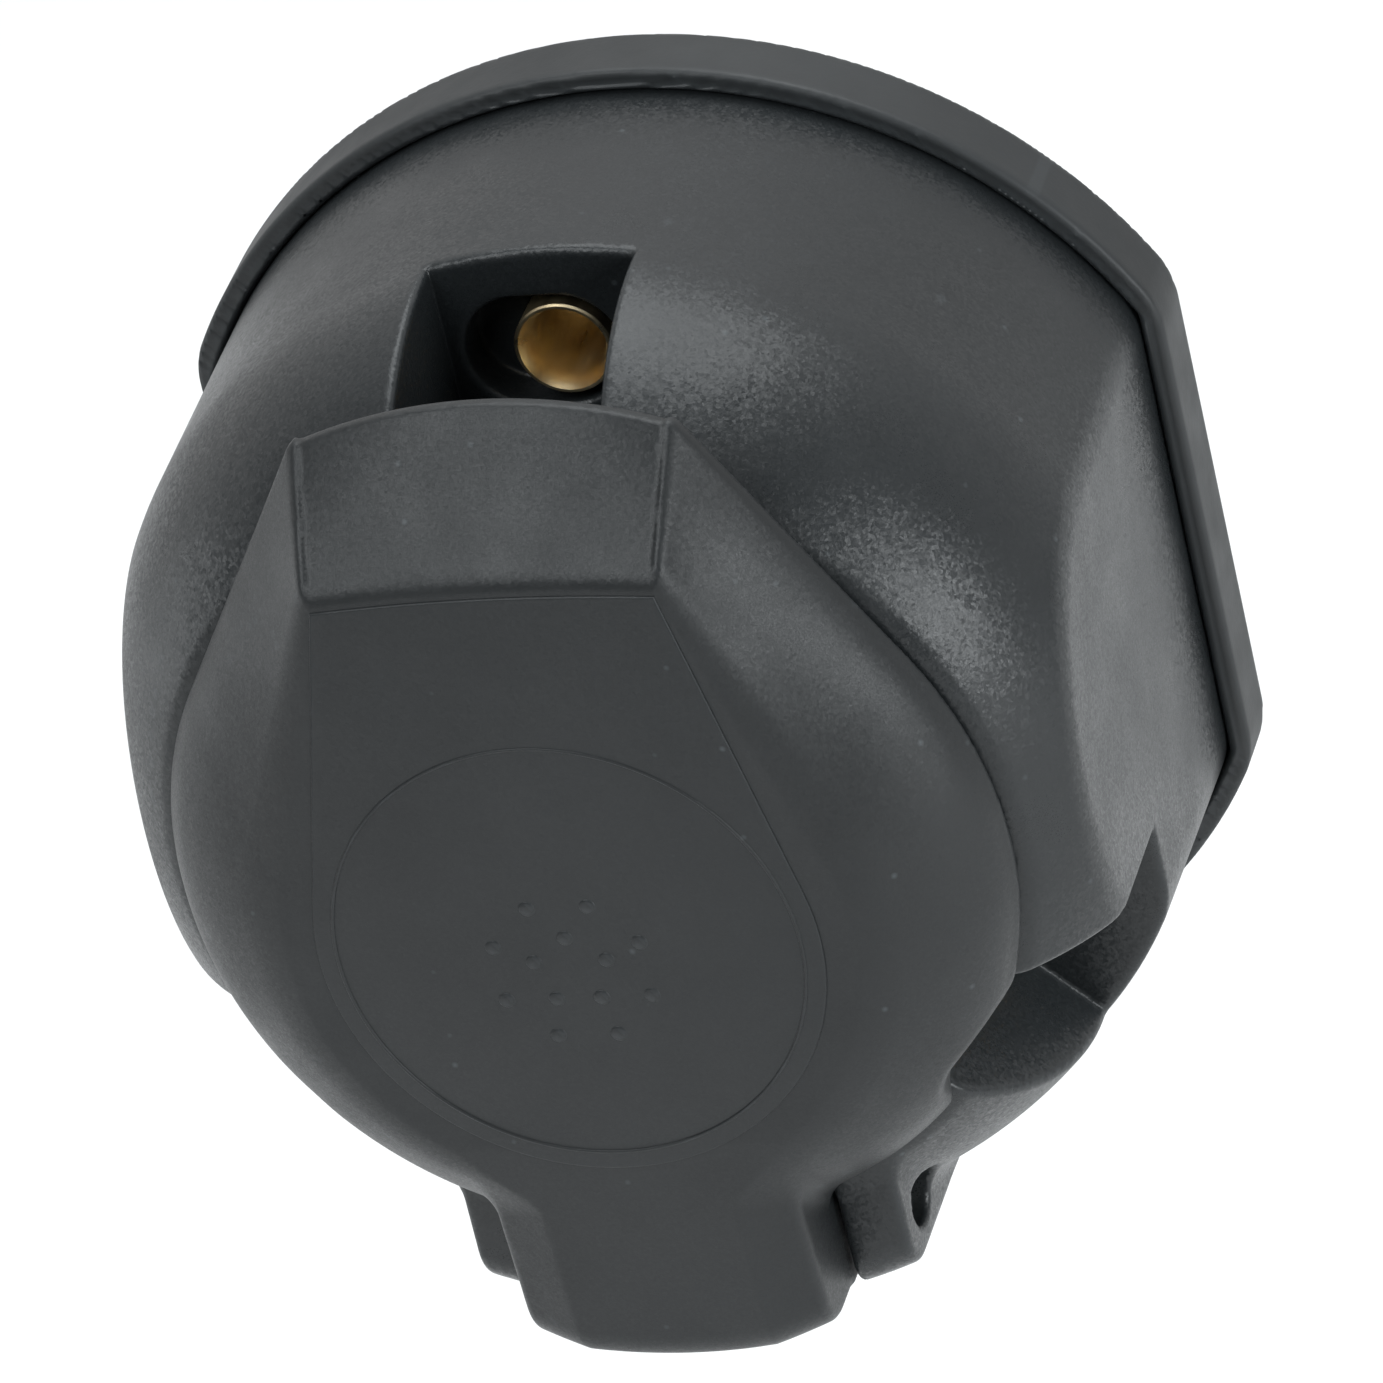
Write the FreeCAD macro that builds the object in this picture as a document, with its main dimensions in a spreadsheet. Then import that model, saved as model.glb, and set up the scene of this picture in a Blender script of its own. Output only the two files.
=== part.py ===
import FreeCAD, Part
import math
import operator
import os

import Sketcher

# Thirteen-way trailer socket with a sprung lid.
# The origin is the centre of the mounting face.  +X is right, +Z is up, and the mouth faces -Y,
# so a depth is a distance forward of the mounting face.  All lengths are in millimetres.

SIZES = {
    # mounting
    "bolt_radius": 30.0,          # the three fixing holes lie on this circle
    "bush_bore": 2.65,            # radius, for M5
    "bush_radius": 3.5,
    "bush_chamfer": 0.3,
    # housing
    "flange_margin": 8.3,         # from the bolt circle out to the skirt
    "skirt_draft": 0.4,           # how much the skirt narrows towards the dome
    "dome_length": 17.0,          # how far the dome lies behind the front face
    "dome_radius": 22.0,
    "face_depth": 43.0,
    "flat_cut": 4.5,              # how far the side flats lie inside the skirt radius
    "wall": 2.4,
    "pocket_floor": 25.7,
    "pocket_near": 6.5,           # from a fixing hole to the nearer side wall of its pocket
    "pocket_far": 11.4,           # from the top fixing hole to the farther side wall
    "pocket_splay": 0.27,         # how much that wall leans in per millimetre outwards
    "pocket_head": 4.0,           # from a lower fixing hole up to its pocket's top wall
    "relief_depth": 3.4,          # oblong relief round a bush, below the pocket floor
    "relief_radius": 4.2,
    "relief_run": 2.8,
    # mouth and chamber
    "mouth_radius": 18.0,
    "collar_reach": 4.5,          # how far the mouth collar stands out of the front face
    "notch_radius": 2.2,          # bayonet notches in the collar
    "notch_depth": 9.0,
    "notch_inset": 0.7,           # how far inside the mouth's wall a notch is centred
    "chamber_radius": 24.0,
    "chamber_depth": 23.0,
    # gasket and grommet
    "lip": 1.7,
    "gasket_plate": 2.0,
    "gasket_band": 5.4,
    "grommet_neck": 13.0,
    "grommet_flange": 3.0,
    "grommet_tail": 14.0,
    "grommet_foot": 1.5,          # where the grommet's cone starts, behind the gasket
    "grommet_step": 2.0,          # how far it narrows there
    "cable_radius": 5.5,
    # contact block
    "block_radius": 15.0,
    "block_recess": 5.5,          # from the collar's rim back to the block's face
    "clamp_plate": 3.0,
    "block_foot": 1.2,            # how far the block's foot stands out, under the clamp ring
    "foot_length": 1.5,
    "clamp_play": 0.1,
    "seat_play": 0.3,             # between the chamber's wall and what sits in it
    "centring_play": 0.2,
    "centring_length": 2.0,
    "key_half": 1.5,              # the keyway along the block
    "key_depth": 1.2,
    "key_stop": 3.0,
    "retainer": 2.5,
    "outer_ring": 11.2,           # circle of the eight outer contacts
    "inner_ring": 5.4,            # circle of the five inner contacts
    "sleeve_radius": 1.9,
    "sleeve_bore": 1.25,
    "sleeve_recess": 1.0,         # from the block's face back to a sleeve's end
    "sleeve_floor": 3.0,
    "terminal_radius": 2.3,
    "terminal_play": 0.1,
    "wire_radius": 1.5,
    "wire_floor": 2.0,
    "outer_terminal": 7.0,
    "inner_terminal": 12.0,
    "grub_radius": 0.9,
    "grub_length": 2.4,
    "grub_inset": 2.0,            # from a terminal's rear end to its clamping screw
    "insert_screw_circle": 21.2,
    "insert_screw_radius": 1.4,
    "insert_screw_length": 12.0,
    "insert_screw_head": 2.6,
    "insert_screw_height": 1.7,
    "screw_play": 0.3,
    "screw_boss": 1.7,            # wall round an insert screw
    "drive_depth": 0.9,
    "drive_reach": 1.8,
    "drive_half": 0.35,
    # hinge
    "pin_inset": 4.3,             # how far the pin's axis lies behind the front face
    "pin_drop": 31.8,
    "pin_radius": 1.5,
    "pin_play": 0.06,
    "pin_sink": 1.5,              # how far the pin's ends lie inside the lugs' sides
    "sink_radius": 2.1,
    "lug_half": 15.8,
    "lug_inset": 1.0,             # how far the lugs' round ends lie inside the gasket's radius
    "lug_round": 3.0,
    "hinge_rear_wall": 3.6,
    "tongue_half": 10.9,
    "knuckle_radius": 6.3,
    "slot_lean": 0.36,            # slope of the slot's back wall below the pin
    "gap": 0.4,                   # clearance between moving parts
    "spring_bay": 5.0,            # half the width of the space for the spring
    "coil_radius": 2.5,
    "wire": 0.45,                 # radius of the spring's wire
    "coil_pitch": 1.2,
    "coil_turns": 6.0,
    "leg_gap": 0.1,               # between a leg's tip and what it bears on
    # lid
    "lid_gap": 0.3,               # between the front face and the closed lid
    "lid_radius": 29.8,
    "lid_band": 1.9,              # height of the lid's rim
    "lid_height": 8.5,            # from the lid's rear edge to its panel
    "lid_wall": 2.0,
    "tab_half": 13.4,
    "tab_top": 34.9,              # height of the finger tab's corners
    "tab_crown": 37.3,            # radius of the tab's top edge
    "tongue_inset": 1.6,          # how far the tongue's foot lies behind the panel
    "tongue_head": 0.4,           # the same at its top
    "tongue_cover": 4.8,          # how far the tongue reaches up behind the panel
    "panel_half": 12.0,
    "panel_top": 26.0,
    "panel_crown": 149.2,
    "panel_radius": 17.8,
    "panel_drop": 1.7,            # how far the panel's round end lies below the axis
    "shoulder_height": 5.6,       # where the lid's sides turn over
    "shoulder_radius": 26.0,
    "ring_radius": 16.4,          # thin ring cut in the panel
    "ring_width": 0.35,
    "ring_depth": 0.25,
    "notch_run": 4.4,             # cut in the lid's rim beside each lower fixing screw
    "notch_fall": 2.2,
    "seal_width": 4.4,
    "seal_seat": 0.2,
}


class Size:
    """A length held both as a number and as an expression on the spreadsheet."""

    def __init__(self, value, text):
        self.value = float(value)
        self.text = text

    def __add__(self, other):
        return join(self, operator.add, "+", other)

    def __radd__(self, other):
        return join(other, operator.add, "+", self)

    def __sub__(self, other):
        return join(self, operator.sub, "-", other)

    def __rsub__(self, other):
        return join(other, operator.sub, "-", self)

    def __mul__(self, other):
        return join(self, operator.mul, "*", other)

    def __rmul__(self, other):
        return join(other, operator.mul, "*", self)

    def __truediv__(self, other):
        return join(self, operator.truediv, "/", other)

    def __neg__(self):
        return Size(-self.value, "(0 - %s)" % self.text)


def as_size(number):
    """Turn a plain number into a Size; a Size stays as it is."""
    return number if isinstance(number, Size) else Size(number, repr(float(number)))


def join(left, action, sign, right):
    left, right = as_size(left), as_size(right)
    return Size(action(left.value, right.value), "(%s %s %s)" % (left.text, sign, right.text))


def root(number):
    return Size(math.sqrt(number.value), "sqrt(%s)" % number.text)


doc = FreeCAD.newDocument("trailer_socket")
sheet = doc.addObject("Spreadsheet::Sheet", "sizes")
for row, (alias, number) in enumerate(SIZES.items(), start=1):
    sheet.set("A%d" % row, alias)
    sheet.set("B%d" % row, str(number))
    sheet.setAlias("B%d" % row, alias)
doc.recompute()


class Sheet:
    """Reads a cell of the spreadsheet as a Size."""

    def __getattr__(self, alias):
        return Size(sheet.get(alias), "sizes." + alias)


s = Sheet()
pieces = []

# ---------------------------------------------------------------- drawing helpers

FORWARD = FreeCAD.Rotation(FreeCAD.Vector(1, 0, 0), 90)     # turns +Z to -Y
SIDEWAYS = FreeCAD.Rotation(FreeCAD.Vector(0, 1, 0), 90)    # turns +Z to +X


def piece(feature, label):
    """Name a finished sub-part, so that it is written out."""
    feature.Label = label
    pieces.append(feature)
    return feature


def bind(feature, **expressions):
    """Bind properties to expressions; a double underscore in a name stands for a dot."""
    for name, size in expressions.items():
        feature.setExpression(name.replace("__", "."), as_size(size).text)
    return feature


def place(feature, x=0, y=0, z=0, rotation=None):
    """Put a feature at sizes x, y and z."""
    feature.Placement = FreeCAD.Placement(FreeCAD.Vector(), rotation or FreeCAD.Rotation())
    return bind(feature, Placement__Base__x=x, Placement__Base__y=y, Placement__Base__z=z)


def plane_of(body, role):
    return next(item for item in body.Origin.OriginFeatures if item.Role == role)


def new_sketch(body, role, lift=0):
    """A sketch on one of the body's own planes, lifted along that plane's normal."""
    sketch = body.newObject("Sketcher::SketchObject", "outline")
    sketch.AttachmentSupport = [(plane_of(body, role), "")]
    sketch.MapMode = "FlatFace"
    sketch.setExpression("AttachmentOffset.Base.z", as_size(lift).text)
    return sketch


def dimension(sketch, kind, size, *where):
    index = sketch.addConstraint(Sketcher.Constraint(kind, *where, size.value))
    sketch.setExpression("Constraints[%d]" % index, size.text)


def draw_loop(sketch, points):
    """Draw a closed outline.

    A point is (x, y) or (x, y, centre).  The edge that leaves a point is straight, or, where a
    centre is given, the shorter arc round that centre.
    """
    spots = [(as_size(point[0]), as_size(point[1])) for point in points]
    edges = []
    for number, start in enumerate(spots):
        end = spots[(number + 1) % len(spots)]
        if len(points[number]) == 2:
            line = Part.LineSegment(vector(start), vector(end))
            edges.append((sketch.addGeometry(line), 1, 2, None))
            continue
        centre = tuple(as_size(part) for part in points[number][2])
        radius = distance(start, centre)
        angles = [math.atan2(spot[1].value - centre[1].value, spot[0].value - centre[0].value)
                  for spot in (start, end)]
        left_turn = math.sin(angles[1] - angles[0]) > 0
        first, last = angles if left_turn else reversed(angles)
        circle = Part.Circle(vector(centre), FreeCAD.Vector(0, 0, 1), radius.value)
        arc = sketch.addGeometry(Part.ArcOfCircle(circle, first, last))
        edges.append((arc, 1, 2, radius) if left_turn else (arc, 2, 1, radius))
    for number, (edge, head, tail, radius) in enumerate(edges):
        after = edges[(number + 1) % len(edges)]
        sketch.addConstraint(Sketcher.Constraint("Coincident", edge, tail, after[0], after[1]))
        dimension(sketch, "DistanceX", spots[number][0], -1, 1, edge, head)
        dimension(sketch, "DistanceY", spots[number][1], -1, 1, edge, head)
        if radius is not None:
            dimension(sketch, "Radius", radius, edge)


def draw_circle(sketch, x, y, radius):
    x, y, radius = as_size(x), as_size(y), as_size(radius)
    circle = Part.Circle(vector((x, y)), FreeCAD.Vector(0, 0, 1), radius.value)
    edge = sketch.addGeometry(circle)
    dimension(sketch, "DistanceX", x, -1, 1, edge, 3)
    dimension(sketch, "DistanceY", y, -1, 1, edge, 3)
    dimension(sketch, "Radius", radius, edge)


def vector(spot):
    return FreeCAD.Vector(spot[0].value, spot[1].value, 0)


def distance(one, other):
    across, along = one[0] - other[0], one[1] - other[1]
    return root(across * across + along * along)


def new_body(name):
    return doc.addObject("PartDesign::Body", name)


def turned(name, points):
    """A solid of revolution about the Y axis, from an outline of (radius, y) points."""
    body = new_body(name)
    sketch = new_sketch(body, "XY_Plane")
    draw_loop(sketch, points)
    turn = body.newObject("PartDesign::Revolution", "turn")
    turn.Profile = sketch
    turn.ReferenceAxis = (sketch, ["V_Axis"])
    turn.Angle = 360
    return body


def slab(name, loops, start, end):
    """A solid with (x, z) outlines, or (x, z, radius) circles, from depth start to depth end."""
    body = new_body(name)
    sketch = new_sketch(body, "XZ_Plane", start)
    for loop in loops:
        if isinstance(loop, tuple):
            draw_circle(sketch, *loop)
        else:
            draw_loop(sketch, loop)
    pad = body.newObject("PartDesign::Pad", "pad")
    pad.Profile = sketch
    bind(pad, Length=as_size(end) - start)
    return body


def bar(name, points, half_width):
    """A solid with a (y, z) outline, reaching half_width to each side of the middle."""
    body = new_body(name)
    sketch = new_sketch(body, "YZ_Plane")
    draw_loop(sketch, points)
    pad = body.newObject("PartDesign::Pad", "pad")
    pad.Profile = sketch
    pad.Midplane = True
    bind(pad, Length=half_width * 2)
    return body


def loft(name, layers):
    """A solid through (depth, outline) layers with straight sides between them."""
    body = new_body(name)
    sketches = []
    for depth, points in layers:
        sketch = new_sketch(body, "XZ_Plane", depth)
        draw_loop(sketch, points)
        sketches.append(sketch)
    solid = body.newObject("PartDesign::AdditiveLoft", "loft")
    solid.Profile = sketches[0]
    solid.Sections = sketches[1:]
    solid.Ruled = True
    return body


def cylinder(x, z, start, end, radius):
    """A round bar along the socket's axis, from depth start to depth end."""
    rod = bind(doc.addObject("Part::Cylinder", "rod"), Radius=radius, Height=as_size(end) - start)
    return place(rod, x, -as_size(start), z, FORWARD)


def cross_rod(y, z, half_length, radius):
    """A round bar along X, centred on the middle plane."""
    rod = bind(doc.addObject("Part::Cylinder", "rod"), Radius=radius, Height=half_length * 2)
    return place(rod, -half_length, y, z, SIDEWAYS)


def brick(low, high):
    """A box between two corners, each an (x, y, z) of sizes."""
    box = doc.addObject("Part::Box", "brick")
    spans = [as_size(top) - bottom for bottom, top in zip(low, high)]
    bind(box, Length=spans[0], Width=spans[1], Height=spans[2])
    return place(box, *low)


def joined(features, kind="Part::MultiFuse"):
    result = doc.addObject(kind, "joined")
    result.Shapes = features
    return result


def common(one, other):
    return joined([one, other], "Part::MultiCommon")


def cut(base, *tools):
    result = doc.addObject("Part::Cut", "cut")
    result.Base = base
    result.Tool = tools[0] if len(tools) == 1 else joined(list(tools))
    return result


def group(features):
    """Separate solids in one sub-part."""
    result = doc.addObject("Part::Compound", "group")
    result.Links = features
    return result


def around(count, radius, first_angle):
    """Places (x, z) evenly round the axis, anticlockwise seen from the front."""
    angles = [math.radians(first_angle + 360.0 * number / count) for number in range(count)]
    return [(radius * math.cos(angle), radius * math.sin(angle)) for angle in angles]


# ---------------------------------------------------------------- shared sizes

skirt_radius = s.bolt_radius + s.flange_margin
dome_start = s.face_depth - s.dome_length
dome_rim = skirt_radius - s.skirt_draft
dome_centre = dome_rim - s.dome_radius
flat_half = skirt_radius - s.flat_cut
gasket_radius = skirt_radius + s.lip
collar_radius = s.mouth_radius + s.wall
collar_front = s.face_depth + s.collar_reach
block_face = collar_front - s.block_recess
retainer_front = s.chamber_depth - s.clamp_plate
retainer_rear = retainer_front - s.retainer
seat_radius = s.chamber_radius - s.seat_play
pin_y = s.pin_inset - s.face_depth
pin_z = -s.pin_drop
slot_half = s.tongue_half + s.gap
swing_radius = s.knuckle_radius + s.gap
lid_rear = s.face_depth + s.lid_gap
lid_front = lid_rear + s.lid_height

bolt_half_span = s.bolt_radius * math.cos(math.radians(30))
bolt_drop = s.bolt_radius * math.sin(math.radians(30))
BOLTS = [(as_size(0), s.bolt_radius), (bolt_half_span, -bolt_drop), (-bolt_half_span, -bolt_drop)]
INSERT_SCREWS = around(3, s.insert_screw_circle, 30)
OUTER_CONTACTS = around(8, s.outer_ring, 22.5)
INNER_CONTACTS = around(5, s.inner_ring, 90)
BEYOND = 12        # how far a large cutting tool reaches past what it cuts
PAST = 1           # the same for a small one
TUCK = 0.01        # keeps faces of joined solids from lying exactly in each other


# ---------------------------------------------------------------- housing

def skin(name, inset, rear, front, flats):
    """The housing's outer form, moved inwards by inset, from depth rear to depth front."""
    reach = as_size(front) - dome_start
    arc = s.dome_radius - inset
    rim = dome_centre + root(arc * arc - reach * reach)
    centre = (dome_centre, -dome_start)
    profile = [(0, -as_size(rear)), (skirt_radius - inset, -as_size(rear)),
               (dome_rim - inset, -dome_start, centre), (rim, -as_size(front)),
               (0, -as_size(front))]
    form = turned(name, profile)
    span = gasket_radius + BEYOND
    return common(form, brick((-flats, -span, -span), (flats, 0, span)))


def top_pocket_outline(grow):
    """Outline of the top screw pocket, its walls moved outwards by grow."""
    foot, head = s.mouth_radius, skirt_radius + BEYOND
    near = s.pocket_near + grow
    far = s.pocket_far + grow
    return [(near, foot), (near, head),
            (-(far - (head - s.bolt_radius) * s.pocket_splay), head),
            (-(far + (s.bolt_radius - foot) * s.pocket_splay), foot)]


def low_pocket_outline(grow, side):
    """Outline of a lower screw pocket: a level top wall and a lower wall at 45 degrees."""
    ceiling = s.pocket_head + grow - bolt_drop
    foot, reach = s.mouth_radius, skirt_radius + BEYOND
    corner = bolt_half_span - bolt_drop - (s.pocket_near + grow) * math.sqrt(2)
    return [(side * foot, ceiling), (side * reach, ceiling),
            (side * reach, corner - reach), (side * foot, corner - foot)]


def pocket_tools(name, grow, floor):
    """The three screw pockets as solids, clear of the wall round the mouth."""
    outlines = [top_pocket_outline(grow), low_pocket_outline(grow, 1), low_pocket_outline(grow, -1)]
    front = collar_front + BEYOND
    blocks = [slab(name, [outline], floor, front) for outline in outlines]
    core = cylinder(0, 0, 0, front + PAST, collar_radius + s.wall - grow)
    return cut(joined(blocks), core)


def reliefs(name, grow, start, end):
    """Oblong reliefs round the bushes, each running to the left of its hole."""
    radius, run = s.relief_radius + grow, s.relief_run
    ovals = []
    for x, z in BOLTS:
        left, low, high = x - run, z - radius, z + radius
        centre_right, centre_left = (x, z), (left, z)
        ovals.append(slab(name, [[(left, low), (x, low, centre_right),
                                  (x + radius, z, centre_right), (x, high),
                                  (left, high, centre_left), (left - radius, z, centre_left)]],
                          start, end))
    return joined(ovals)


def hinge_block():
    """The solid that holds the hinge pin, before the lid's slot is cut in it.

    Its lugs end on a circle about the mouth's axis, with a round front edge.
    """
    front, rear = -s.face_depth, swing_radius + s.hinge_rear_wall + pin_y
    reach, bend = gasket_radius - s.lug_inset, s.lug_round
    corner = (reach - bend, front + bend)
    form = turned("lug_form", [(0, rear), (reach, rear), (reach, front + bend, corner),
                               (reach - bend, front), (0, front)])
    return common(form, brick((-s.lug_half, front - PAST, -(reach + PAST)),
                              (s.lug_half, rear + PAST, swing_radius + s.wall + pin_z)))


def hinge_slot():
    """Space for the lid's knuckle, open to the front and below.

    Its back wall leans away below the pin, so that the lid can open past a right angle.
    """
    below = -(gasket_radius + BEYOND)
    ceiling, back = swing_radius + pin_z, swing_radius + pin_y
    lean = (pin_z - below) * s.slot_lean
    front = -(collar_front + BEYOND)
    return bar("hinge_slot", [(front, ceiling), (pin_y, ceiling, (pin_y, pin_z)), (back, pin_z),
                              (back + lean, below), (front, below)], slot_half)


def make_housing():
    rear, front = s.gasket_plate, s.face_depth
    blank = skin("blank", 0, rear, front, flat_half)
    hollow = cut(skin("hollow", s.wall, 0, front - s.wall, flat_half - s.wall),
                 cylinder(0, 0, -PAST, s.chamber_depth + s.wall, s.chamber_radius + s.wall),
                 cylinder(0, 0, -PAST, front, collar_radius))
    shell = cut(blank, hollow)
    floor = s.pocket_floor - s.wall
    linings = common(pocket_tools("lining", s.wall, floor),
                     skin("lined_skin", TUCK, rear, front, flat_half - TUCK))
    bosses = common(reliefs("boss", s.wall, rear, s.pocket_floor),
                    skin("boss_skin", 2 * TUCK, rear, front, flat_half - 2 * TUCK))
    screw_bosses = [cylinder(x, z, s.chamber_depth, s.chamber_depth + s.insert_screw_length,
                             s.insert_screw_radius + s.screw_boss) for x, z in INSERT_SCREWS]
    collar = cylinder(0, 0, front - PAST, collar_front, collar_radius)
    whole = joined([shell, linings, bosses, collar, hinge_block()] + screw_bosses)
    notches = [cylinder(x, z, collar_front - s.notch_depth, collar_front + PAST, s.notch_radius)
               for x, z in around(3, s.mouth_radius - s.notch_inset, 90)]
    pilot_depth = s.chamber_depth + s.insert_screw_length - s.wall
    pilots = [cylinder(x, z, s.gasket_plate, pilot_depth, s.insert_screw_radius)
              for x, z in INSERT_SCREWS]
    bush_holes = [cylinder(x, z, -PAST, collar_front, s.bush_radius) for x, z in BOLTS]
    pin_reach = s.lug_half + PAST
    sink = cut(cross_rod(pin_y, pin_z, pin_reach, s.sink_radius),
               cross_rod(pin_y, pin_z, s.lug_half - s.pin_sink, s.sink_radius + PAST))
    return cut(whole,
               cylinder(0, 0, -PAST, s.chamber_depth, s.chamber_radius),
               cylinder(0, 0, 0, collar_front + PAST, s.mouth_radius),
               pocket_tools("pocket", 0, s.pocket_floor),
               reliefs("relief", 0, s.pocket_floor - s.relief_depth, s.pocket_floor + PAST),
               hinge_slot(), sink, cross_rod(pin_y, pin_z, pin_reach, s.pin_radius),
               *notches, *pilots, *bush_holes)


# ---------------------------------------------------------------- gasket and grommet

def make_gasket():
    """A rubber cup behind the housing, whose lip stands round the skirt."""
    inner = common(cylinder(0, 0, s.gasket_plate, s.gasket_band + PAST, skirt_radius),
                   brick((-flat_half, -collar_front, -gasket_radius),
                         (flat_half, 0, gasket_radius)))
    flats = flat_half + s.lip
    cup = common(cylinder(0, 0, 0, s.gasket_band, gasket_radius),
                 brick((-flats, -collar_front, -gasket_radius), (flats, 0, gasket_radius)))
    plate = s.gasket_plate + PAST
    holes = [cylinder(x, z, -PAST, plate, s.bush_radius) for x, z in BOLTS]
    return cut(cup, inner, cylinder(0, 0, -PAST, plate, s.grommet_neck), *holes)


def make_grommet():
    """A rubber sleeve in the middle of the gasket, through which the cable comes in."""
    neck, flange, bore = s.grommet_neck, s.grommet_neck + s.grommet_flange, s.cable_radius
    inside = -(s.gasket_plate + s.wall)
    return turned("grommet", [(bore, s.grommet_tail), (bore + s.wall, s.grommet_tail),
                              (neck - s.grommet_step, s.grommet_foot), (neck, 0),
                              (neck, -s.gasket_plate), (flange, -s.gasket_plate),
                              (flange, inside), (bore, inside)])


# ---------------------------------------------------------------- contact block

def make_insert():
    """The block that carries the contacts, with a foot that the clamp ring holds."""
    foot = slab("foot", [(0, 0, s.block_radius + s.block_foot)],
                retainer_front, retainer_front + s.foot_length)
    block = slab("block", [(0, 0, s.block_radius)], retainer_front, block_face)
    holes = [cylinder(x, z, 0, collar_front, s.sleeve_radius)
             for x, z in OUTER_CONTACTS + INNER_CONTACTS]
    key = brick((-s.key_half, -block_face - PAST, s.block_radius - s.key_depth),
                (s.key_half, -s.chamber_depth - s.key_stop, s.block_radius + PAST))
    return cut(joined([foot, block]), key, *holes)


def make_clamp_ring():
    """Presses the block's foot on the retainer, and is centred in the housing's mouth."""
    bore = s.block_radius + s.clamp_play
    foot_bore = bore + s.block_foot
    spigot, spigot_end = s.mouth_radius - s.centring_play, s.chamber_depth + s.centring_length
    foot_top = retainer_front + s.foot_length
    ring = turned("clamp_ring", [(bore, -foot_top), (foot_bore, -foot_top),
                                 (foot_bore, -retainer_front), (seat_radius, -retainer_front),
                                 (seat_radius, -s.chamber_depth), (spigot, -s.chamber_depth),
                                 (spigot, -spigot_end), (bore, -spigot_end)])
    screws = [cylinder(x, z, 0, collar_front, s.insert_screw_radius + s.screw_play)
              for x, z in INSERT_SCREWS]
    return cut(ring, *screws)


def make_retainer():
    """The plate that keeps the contacts in the block from behind."""
    holes = [(x, z, s.terminal_radius + s.terminal_play)
             for x, z in OUTER_CONTACTS + INNER_CONTACTS]
    screws = [(x, z, s.insert_screw_radius + s.screw_play) for x, z in INSERT_SCREWS]
    plate = [(0, 0, seat_radius)]
    return slab("retainer", plate + holes + screws, retainer_rear, retainer_front)


def make_contact(x, z, terminal):
    """A sleeve for the plug's pin in front, and a screw terminal for a wire behind."""
    tip, rear = -(block_face - s.sleeve_recess), terminal - retainer_rear
    sleeve_end, wire_end = -(retainer_front + s.sleeve_floor), rear - terminal + s.wire_floor
    profile = [(0, sleeve_end), (s.sleeve_bore, sleeve_end), (s.sleeve_bore, tip),
               (s.sleeve_radius, tip), (s.sleeve_radius, -retainer_front),
               (s.terminal_radius, -retainer_front),
               (s.terminal_radius, rear), (s.wire_radius, rear), (s.wire_radius, wire_end),
               (0, wire_end)]
    return cut(place(turned("contact", profile), x, 0, z), grub_rod(x, z, terminal, 0))


def grub_rod(x, z, terminal, start):
    """A rod from a terminal's middle outwards, where its clamping screw goes."""
    outwards = FreeCAD.Vector(x.value, 0, z.value)
    rod = bind(doc.addObject("Part::Cylinder", "rod"), Radius=s.grub_radius,
               Height=s.grub_length - start)
    rotation = FreeCAD.Rotation(FreeCAD.Vector(0, 0, 1), outwards)
    share = as_size(start) / root(x * x + z * z)
    y = terminal - retainer_rear - s.grub_inset
    return place(rod, x + x * share, y, z + z * share, rotation)


def make_insert_screw(x, z):
    """A pan-head screw through the retainer and the clamp ring into the housing."""
    rear = -(retainer_rear - s.insert_screw_height)
    tip = -(s.chamber_depth + s.insert_screw_length - s.wall - PAST)
    shank, head = s.insert_screw_radius, s.insert_screw_head
    screw = turned("screw", [(0, rear), (head, rear), (head, -retainer_rear),
                             (shank, -retainer_rear), (shank, tip + shank), (0, tip)])
    slots = [brick((-wide, rear - s.drive_depth, -tall), (wide, rear + PAST, tall))
             for wide, tall in ((s.drive_half, s.drive_reach), (s.drive_reach, s.drive_half))]
    return place(cut(screw, *slots), x, 0, z)


# ---------------------------------------------------------------- bushes and hinge pin

def make_bush(x, z):
    ring = turned("bush", [(s.bush_bore, 0), (s.bush_radius, 0), (s.bush_radius, -s.pocket_floor),
                           (s.bush_bore + s.bush_chamfer, -s.pocket_floor),
                           (s.bush_bore, s.bush_chamfer - s.pocket_floor)])
    return place(ring, x, 0, z)


def make_pin():
    return cross_rod(pin_y, pin_z, s.lug_half - s.pin_sink, s.pin_radius)


def make_spring():
    """A torsion spring round the pin: a coil with one leg on the housing and one on the lid."""
    coil, pitch, wire = s.coil_radius.value, s.coil_pitch.value, s.wire.value
    height = pitch * s.coil_turns.value
    leg = math.sqrt(swing_radius.value ** 2 - (coil + wire) ** 2) - s.leg_gap.value
    helix = Part.makeHelix(pitch, height, coil)
    start, end = FreeCAD.Vector(coil, 0, 0), FreeCAD.Vector(coil, 0, height)
    tip = start - FreeCAD.Vector(0, leg, 0)
    legs = [Part.LineSegment(tip, start).toShape(),
            Part.LineSegment(end, end + FreeCAD.Vector(0, leg, 0)).toShape()]
    path = Part.Wire([legs[0]] + helix.Edges + [legs[1]])
    section = Part.Wire(Part.makeCircle(wire, tip, FreeCAD.Vector(0, 1, 0)))
    spring = doc.addObject("Part::Feature", "spring")
    spring.Shape = path.makePipeShell([section], True, True)
    return place(spring, s.coil_pitch * s.coil_turns / 2, pin_y, pin_z, SIDEWAYS.inverted())


# ---------------------------------------------------------------- lid

def tangent_point(corner, radius, centre_z):
    """Where the line from a corner touches the right side of a circle on the middle plane."""
    x, z = corner[0], corner[1] - centre_z
    square = x * x + z * z
    along = radius * radius / square
    across = radius * root(square - radius * radius) / square
    return x * along + z * across, z * along - x * across + centre_z


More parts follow.
